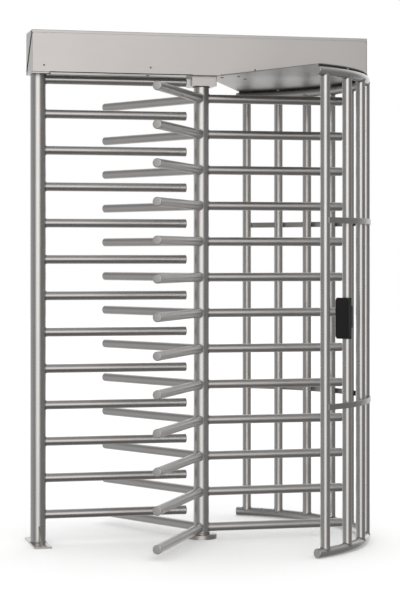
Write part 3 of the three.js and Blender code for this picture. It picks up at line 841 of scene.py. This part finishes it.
def makePan():
    low, high = boxOf("header_pan")
    sheet = header["sheet"]
    front, back, slotTop = low.y, low.y + sheet, low.z + header["slotTop"]
    sections = []
    for bottom in (low.z, slotTop):
        hem = arcPoints(((front + back) / 2, bottom + sheet / 2), sheet / 2, 180, 360, header["hemSteps"])
        sections.append([(front, high.z), *hem, (back, high.z)])
    bm = bmesh.new()
    addHeaderSheet(bm, low, high, sections)
    floor = [(low.x, back), (high.x, back), (high.x, high.y), (low.x, high.y)]
    addSlab(bm, [floor, circle(header["columnHole"], header["holeSides"])], slotTop, slotTop + sheet)
    makePiece("header_body", bm, sheetSteel, ["header_pan"], sharpAngle=30)


def endOutlines(low, high):
    # The two triangles of an end, and the band between them from the top front to the bottom rear, which
    # paints a shade line
    inset, half = header["endInset"], header["shadeBand"] / 2
    front, rear = low.y + inset, high.y - inset
    bottom, top = low.z + inset, high.z - inset
    slope = math.hypot(rear - front, top - bottom)
    across = half * slope / (top - bottom)
    rise = half * slope / (rear - front)
    lid = [(rear, bottom + rise), (rear, top), (front + across, top)]
    pan = [(front, bottom), (rear - across, bottom), (front, top - rise)]
    shadeBand = [(front, top - rise), (rear - across, bottom), (rear, bottom), (rear, bottom + rise),
            (front + across, top), (front, top)]
    return lid, pan, shadeBand


def makeEnds():
    low, high = boxOf("header_lid")
    lid, pan, shadeBand = endOutlines(low, high)
    sheet, sink = header["sheet"], header["endSink"]
    bm = bmesh.new()
    for left in (low.x + sink, high.x - sheet - sink):
        for outline in (lid, pan):
            addSlab(bm, [outline], left, left + sheet, upright)
    # The end sheets' darker colour is painted shade
    makePiece("header_end_sheets", bm, groundShadedSteel)
    thickness, sink = header["shadeBandThickness"], header["shadeBandSink"]
    # A band of black foam across each end paints a shade line
    bm = bmesh.new()
    for left in (low.x + sink, high.x - sink - thickness):
        addSlab(bm, [shadeBand], left, left + thickness, upright)
    makePiece("header_end_shade_bands", bm, shadeLineFoam, soften=header["shadeBandSoften"])


def makeEdgeShadeLine():
    low = boxOf("header_pan")[0]
    left = low.x + saddle["width"] + edgeShadeLine["gap"]
    width, height = header["sheet"] + 2 * edgeShadeLine["around"], edgeShadeLine["height"]
    section = roundedRectangle(width, height, edgeShadeLine["corner"], edgeShadeLine["cornerSteps"])
    place = moved(0, low.y + header["sheet"] / 2, low.z + height / 2 - edgeShadeLine["drop"]) @ upright
    # Black foam under the front's lower edge paints a shade line there
    bm = bmesh.new()
    addSlab(bm, [section], left, edgeShadeLine["right"], place)
    makePiece("header_edge_shade_line", bm, shadeLineFoam, sharpAngle=50)


def addScrew(bm, place, look):
    # A button head with a socket, its underside at the place and its dome along local Z
    head, dome, socket = look["head"], look["dome"], look["socket"]
    floor = dome * screw["socketFloor"]
    cheek = arcPoints((0, -head), math.hypot(head, head), *screw["domeTurn"], screw["domeSteps"])
    profile = [(0, 0), (head, 0), *cheek, (socket, dome), (socket * screw["socketTaper"], floor), (0, floor)]
    addTurned(bm, profile, place, screw["sides"])


def makeHeaderScrews():
    low = boxOf("header_pan")[0]
    bm = bmesh.new()
    for x in frontScrews["across"]:
        addScrew(bm, moved(x, low.y, low.z + frontScrews["above"]) @ turned(90, "X"), frontScrews)
    makePiece("header_screws", bm, blackSteel, sharpAngle=30)
    bm = bmesh.new()
    for names, level in (("pan", low.z + header["slotTop"]), ("ceiling", low.z)):
        for x, y in undersideBolts[names]:
            addScrew(bm, moved(x, y, level) @ turned(180, "X"), undersideBolts)
    makePiece("underside_bolts", bm, blackSteel, sharpAngle=30)


makeCeiling()
makeShadeGasket()
makeLid()
makePan()
makeEnds()
makeEdgeShadeLine()
makeHeaderScrews()
print("header made")


# Card reader and its clamp

reader = {
    "width": 71, "height": 178, "depth": 18, "corner": 14, "roll": 3.6, "rollSteps": 5,
    "back": 6.5, "backCorner": 2, "backGap": 0.3, "soften": 0.5,  # the square box behind the rounded cover
    "seam": 0.8, "windowInset": 5, "windowSink": 1.5,
    "paneInset": 5.8, "paneEdge": 0.6, "paneBack": 1.6, "paneRim": 0.6, "paneFace": 0.1,
}
lamps = {
    "height": 76, "radius": 2.6, "sink": 0.5, "sides": 20,
    "dome": 3.9, "domeSink": 3.4, "domeTurn": (48, 85), "domeSteps": 4,
    "red": (-20, redLens), "green": (6, greenLens),
}
clamp = {
    "post": 8,  # the second post from the front
    "bore": 21.3, "outer": 25.8, "slot": 6, "arcSteps": 40, "soften": 0.8,
    "padWidth": 44, "padThickness": 5, "earWidth": 6, "earReach": 12, "earRoot": 2.5,
}
clampScrews = {
    "spots": (-0.32, 0.32), "radius": 3, "sides": 24,  # spots are shares of the clamp's height
    "head": 4.6, "headHeight": 4, "chamfer": 0.6, "socket": 2.3, "socketDepth": 2,
    "nut": 4.14, "nutHeight": 3,
}


def readerStation(facing, inset, out):
    # A section of the case, smaller by the inset all round, at a distance out from its back
    width, height = reader["width"] - 2 * inset, reader["height"] - 2 * inset
    return facing @ moved(z=out), roundedRectangle(width, height, reader["corner"] - inset)


def makeReader():
    # Section x is across the face and y is up; local Z runs forward, out of the face
    back = -(clamp["outer"] + reader["backGap"])
    place = moved(0, back, middleOf("reader_housing").z) @ turned(90, "X")
    facing = onCage(postTurn(clamp["post"])) @ place
    depth, roll, seam, step = reader["depth"], reader["roll"], reader["back"], reader["seam"]
    rim = reader["windowInset"]
    layers = [(step, seam), (0, seam + step)]
    layers += [(-x, out) for x, out in arcPoints((-roll, depth - roll), roll, 0, 90, reader["rollSteps"])]
    layers += [(rim, depth), (rim, depth - reader["windowSink"])]
    bm = bmesh.new()
    addSweep(bm, [readerStation(facing, inset, out) for inset, out in layers], capped=True)
    makePiece("reader_case", bm, blackAbs, ["reader_housing"], sharpAngle=45)
    box = roundedRectangle(reader["width"], reader["height"], reader["backCorner"])
    bm = bmesh.new()
    addSlab(bm, [box], 0, seam, facing)
    makePiece("reader_back_box", bm, blackAbs, soften=reader["soften"])
    edge = reader["paneInset"]
    layers = [(edge, depth - reader["paneBack"]), (edge, depth - reader["paneRim"]),
              (edge + reader["paneEdge"], depth - reader["paneFace"])]
    bm = bmesh.new()
    addSweep(bm, [readerStation(facing, inset, out) for inset, out in layers], capped=True)
    makePiece("reader_window", bm, blackWindow, sharpAngle=50)
    middle = depth - lamps["domeSink"]
    dome = arcPoints((0, middle), lamps["dome"], *lamps["domeTurn"], lamps["domeSteps"])
    profile = [(lamps["radius"], depth - lamps["sink"]), *dome, (0, middle + lamps["dome"])]
    for name in ("red", "green"):
        across, finish = lamps[name]
        bm = bmesh.new()
        addTurned(bm, profile, facing @ moved(across, lamps["height"]), lamps["sides"])
        makePiece(f"reader_lens_{name}", bm, finish, sharpAngle=60)


def makeClamp():
    low, high = boxOf("reader_clamp")
    post = onCage(postTurn(clamp["post"]))
    bore, outer, half = clamp["bore"], clamp["outer"], clamp["slot"] / 2
    outside = math.degrees(math.asin(half / outer))
    inside = math.degrees(math.asin(half / bore))
    # From one side of the slot, which is at 90 degrees, right round to the other and back
    ring = arcPoints((0, 0), outer, 90 + outside, 450 - outside, clamp["arcSteps"])
    ring += arcPoints((0, 0), bore, 450 - inside, 90 + inside, clamp["arcSteps"])
    pad, front = clamp["padWidth"] / 2, clamp["padThickness"] - outer
    outlines = [ring, [(-pad, -outer), (pad, -outer), (pad, front), (-pad, front)]]
    tip, root, reach = half + clamp["earWidth"], outer - clamp["earRoot"], outer + clamp["earReach"]
    for side in (-1, 1):
        ear = [(side * half, root), (side * tip, root), (side * tip, reach), (side * half, reach)]
        outlines.append(ear[::side])
    bm = bmesh.new()
    for outline in outlines:
        addSlab(bm, [outline], low.z, high.z, post)
    makePiece("reader_bracket", bm, darkNylon, ["reader_clamp"], soften=clamp["soften"])
    shank, nut = clampScrews["radius"], clampScrews["nut"]
    head, socket = clampScrews["head"], clampScrews["socket"]
    nutEnd, headEnd = -tip - clampScrews["nutHeight"], tip + clampScrews["headHeight"]
    chamfer, floor = clampScrews["chamfer"], headEnd - clampScrews["socketDepth"]
    profile = [(0, nutEnd), (nut, nutEnd), (nut, -tip), (shank, -tip), (shank, tip), (head, tip),
               (head, headEnd - chamfer), (head - chamfer, headEnd), (socket, headEnd),
               (socket, floor), (0, floor)]
    bm = bmesh.new()
    for share in clampScrews["spots"]:
        height = (low.z + high.z) / 2 + share * (high.z - low.z)
        spot = moved(0, outer + clamp["earReach"] / 2, height)
        addTurned(bm, profile, post @ spot @ alongX, clampScrews["sides"])
    makePiece("reader_clamp_screws", bm, zincSteel, sharpAngle=30)


makeReader()
makeClamp()
print("card reader made")


# CAD nodes that stay, all out of sight in the header, the bearing block or the column

keptNodes = {
    "top_bearing": machinedSteel,
    "floor_bush": bushBronze,
    "mechanism_plate": zincSteel,
    "index_cam": machinedSteel,
    "exit_pawl": machinedSteel,
    "entry_pawl": machinedSteel,
    "exit_magnet": darkNylon,
    "entry_magnet": darkNylon,
    "rotary_damper": greyPaint,
    "control_box": greyPaint,
}
for node, finish in keptNodes.items():
    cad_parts[node].material_slots[0].material = finish
print("inner works finished")


# Studio

# What the metal reflects: a light's level, the direction of its middle, and the angles from there,
# in degrees, at which it starts and is full
studio = {
    "room": 0.25,  # the dim room all round
    "left": 0.09, "leftAt": (-0.94, -0.34, 0), "leftEdge": (60, 5),  # pale wall
    "corner": 0.2, "cornerAt": (-0.8, 0.56, -0.21), "cornerEdge": (50, 10),  # reflector, low at the rear left
    "window": 1.33, "windowAt": (-0.2, -0.98, 0.2), "windowEdge": (41, 8),  # softbox round the camera
    "backdrop": 0.76, "backdropAt": (0.1, 1, 0), "backdropEdge": (60, 8),  # white paper behind the object
    "panel": 0.35, "panelAt": (0.45, 0.79, 0.42), "panelEdge": (42, 12),  # reflector, high at the rear right
    "overhead": 0.25, "overheadAt": (0.5, 0, 0.87), "overheadEdge": (60, 20),  # softbox above
    "shade": -0.1, "shadeAt": (-0.1, -0.5, -0.86), "shadeEdge": (65, 20),  # dark floor in front
    "warm": "#FFFCFA", "cool": "#FCFCFC",  # the softbox round the camera, and all the rest
    "skyStrength": 1.9, "skyAngle": 130, "skyTurn": (-10, 0, 0),
    "fillStrength": 0.5, "fillAngle": 60, "fillTurn": (70, 0, -20),
    "floor": "#FDFDFD", "floorSize": 60, "floorDrop": 0.0002, "floorRoughness": 0.9,
    "floorGlow": 0.15,  # part of the paper that the camera sees as plain white
}
plainWhite = {"Color": (1, 1, 1, 1), "Strength": 1}


def fade(tree, direction, name):
    # Rises smoothly from zero at the outer edge of a light to its level at the inner edge
    middle, (outer, inner) = Vector(studio[name + "At"]).normalized(), studio[name + "Edge"]
    nearness = addNode(tree, "ShaderNodeVectorMath", {"operation": "DOT_PRODUCT", 1: middle}, {0: direction})
    return addNode(tree, "ShaderNodeMapRange", {
        "interpolation_type": "SMOOTHSTEP", "To Max": studio[name],
        "From Min": math.cos(math.radians(outer)), "From Max": math.cos(math.radians(inner)),
    }, {"Value": nearness.outputs["Value"]}).outputs["Result"]


def makeWorld():
    world = bpy.data.worlds.new("studio")
    bpy.context.scene.world = world
    tree = emptyTree(world)
    direction = addNode(tree, "ShaderNodeTexCoord", {}).outputs["Generated"]
    level = addNode(tree, "ShaderNodeMath", {"operation": "ADD", 1: studio["room"]},
                    {0: fade(tree, direction, "left")}).outputs[0]
    for name in ("corner", "backdrop", "panel", "overhead", "shade"):
        level = addNode(tree, "ShaderNodeMath", {"operation": "ADD"},
                        {0: level, 1: fade(tree, direction, name)}).outputs[0]
    room = addNode(tree, "ShaderNodeBackground", {"Color": toLinear(studio["cool"])}, {"Strength": level})
    window = addNode(tree, "ShaderNodeBackground", {"Color": toLinear(studio["warm"])},
                     {"Strength": fade(tree, direction, "window")})
    lit = addNode(tree, "ShaderNodeAddShader", {}, {0: room.outputs[0], 1: window.outputs[0]})
    white = addNode(tree, "ShaderNodeBackground", plainWhite)
    rays = addNode(tree, "ShaderNodeLightPath", {})
    seen = addNode(tree, "ShaderNodeMath", {"operation": "MAXIMUM"},
                   {0: rays.outputs["Is Camera Ray"], 1: rays.outputs["Is Transmission Ray"]})
    mixed = addNode(tree, "ShaderNodeMixShader", {},
                    {0: seen.outputs[0], 1: lit.outputs[0], 2: white.outputs[0]})
    addNode(tree, "ShaderNodeOutputWorld", {}, {"Surface": mixed.outputs[0]})


def makeSun(name):
    light = bpy.data.lights.new(name + "Panel", "SUN")
    light.energy = studio[name + "Strength"]
    light.angle = math.radians(studio[name + "Angle"])
    sun = addObject(name + "Panel", light)
    sun.rotation_euler = [math.radians(step) for step in studio[name + "Turn"]]
    sun.visible_glossy = False  # the metal reflects the world's own lights instead


def makeFloor():
    finish = bpy.data.materials.new("studioPaper")
    tree = emptyTree(finish)
    paper = addNode(tree, "ShaderNodeBsdfPrincipled", {
        "Base Color": toLinear(studio["floor"]), "Roughness": studio["floorRoughness"],
        "Specular IOR Level": 0,
    })
    white = addNode(tree, "ShaderNodeEmission", plainWhite)
    rays = addNode(tree, "ShaderNodeLightPath", {})
    share = addNode(tree, "ShaderNodeMath", {"operation": "MULTIPLY", 1: studio["floorGlow"]},
                    {0: rays.outputs["Is Camera Ray"]})
    mixed = addNode(tree, "ShaderNodeMixShader", {},
                    {0: share.outputs[0], 1: paper.outputs[0], 2: white.outputs[0]})
    addNode(tree, "ShaderNodeOutputMaterial", {}, {"Surface": mixed.outputs[0]})
    half, level = studio["floorSize"] / 2, -studio["floorDrop"]
    corners = [(-half, -half, level), (half, -half, level), (half, half, level), (-half, half, level)]
    mesh = bpy.data.meshes.new("studio_floor")
    mesh.from_pydata(corners, [], [(0, 1, 2, 3)])
    mesh.materials.append(finish)
    floor = addObject("studio_floor", mesh)
    floor.visible_glossy = False


makeWorld()
makeSun("sky")
makeSun("fill")
makeFloor()
bpy.context.scene.view_settings.view_transform = "Standard"
print("studio made")
